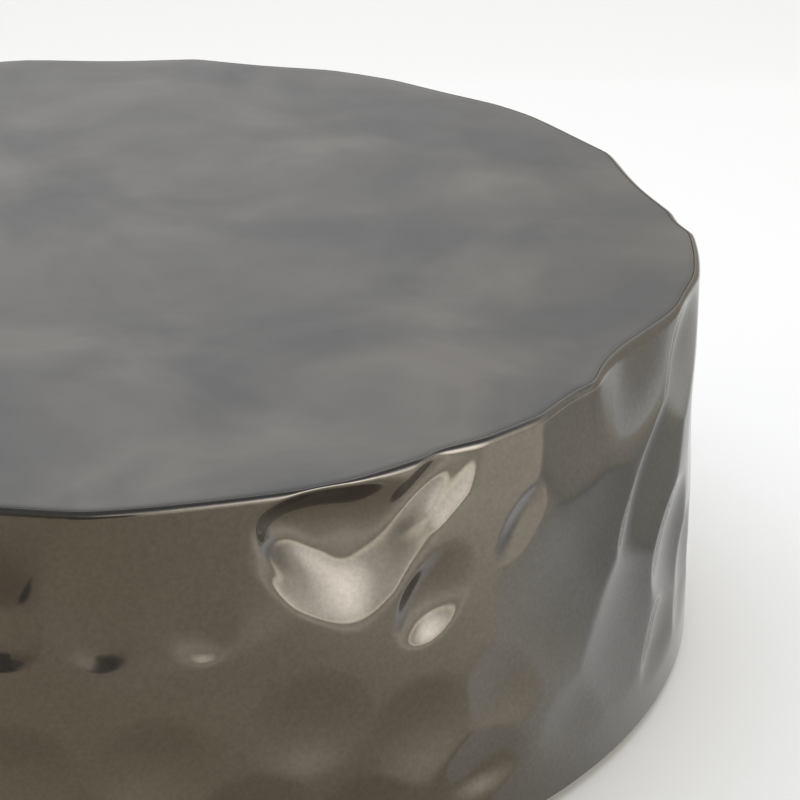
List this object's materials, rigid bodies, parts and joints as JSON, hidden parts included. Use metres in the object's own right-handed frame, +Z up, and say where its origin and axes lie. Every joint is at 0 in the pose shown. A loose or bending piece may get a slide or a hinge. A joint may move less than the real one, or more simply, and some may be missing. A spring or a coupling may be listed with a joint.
{
  "type": "coffee table",
  "caption": "Low round drum coffee table: hammered polished dark-metal wall, flat satin metal top that follows the dented rim, hidden steel frame, closed base, screw levellers.",
  "frame": {"origin": "on the floor under the middle of the drum, levellers screwed home", "axes": "+Z up, -Y towards the viewer of the picture's front face, +X to the right"},
  "size_m": [1.1, 1.1, 0.35],
  "materials": {
    "hammered_wall": "polished dark nickel on hammered sheet",
    "satin_top": "satin, softly clouded dark nickel",
    "core_board": "bare fibreboard",
    "base_board": "black stained board",
    "frame_steel": "black powder coat",
    "zinc_steel": "zinc plated",
    "foot_pad": "moulded nylon"
  },
  "bodies": {
    "table": {"wall_panel_rear_right": "hammered_wall", "wall_panel_rear_left": "hammered_wall", "wall_panel_front": "hammered_wall", "top_plate": "satin_top", "top_core_board": "core_board", "base_board": "base_board", "lower_ring": "frame_steel", "cross_bar_long": "frame_steel", "cross_bar_half_right": "frame_steel", "cross_bar_half_left": "frame_steel", "weld_nuts": "zinc_steel", "core_screws": "zinc_steel", "foot_plate_screws": "zinc_steel", "ring_screws": "zinc_steel", "upright_right": "frame_steel", "foot_plate_right": "frame_steel", "upright_rear": "frame_steel", "foot_plate_rear": "frame_steel", "upright_left": "frame_steel", "foot_plate_left": "frame_steel", "upright_front": "frame_steel", "foot_plate_front": "frame_steel"},
    "leveller_right": {"leveller_stem_right": "zinc_steel", "leveller_pad_right": "foot_pad"},
    "leveller_rear": {"leveller_stem_rear": "zinc_steel", "leveller_pad_rear": "foot_pad"},
    "leveller_left": {"leveller_stem_left": "zinc_steel", "leveller_pad_left": "foot_pad"},
    "leveller_front": {"leveller_stem_front": "zinc_steel", "leveller_pad_front": "foot_pad"}
  },
  "joints": [
    {"name": "leveller_right_screw", "type": "slide", "parent": "table", "child": "leveller_right", "axis": [0, 0, -1], "range_m": [0, 0.015]},
    {"name": "leveller_rear_screw", "type": "slide", "parent": "table", "child": "leveller_rear", "axis": [0, 0, -1], "range_m": [0, 0.015]},
    {"name": "leveller_left_screw", "type": "slide", "parent": "table", "child": "leveller_left", "axis": [0, 0, -1], "range_m": [0, 0.015]},
    {"name": "leveller_front_screw", "type": "slide", "parent": "table", "child": "leveller_front", "axis": [0, 0, -1], "range_m": [0, 0.015]}
  ]
}
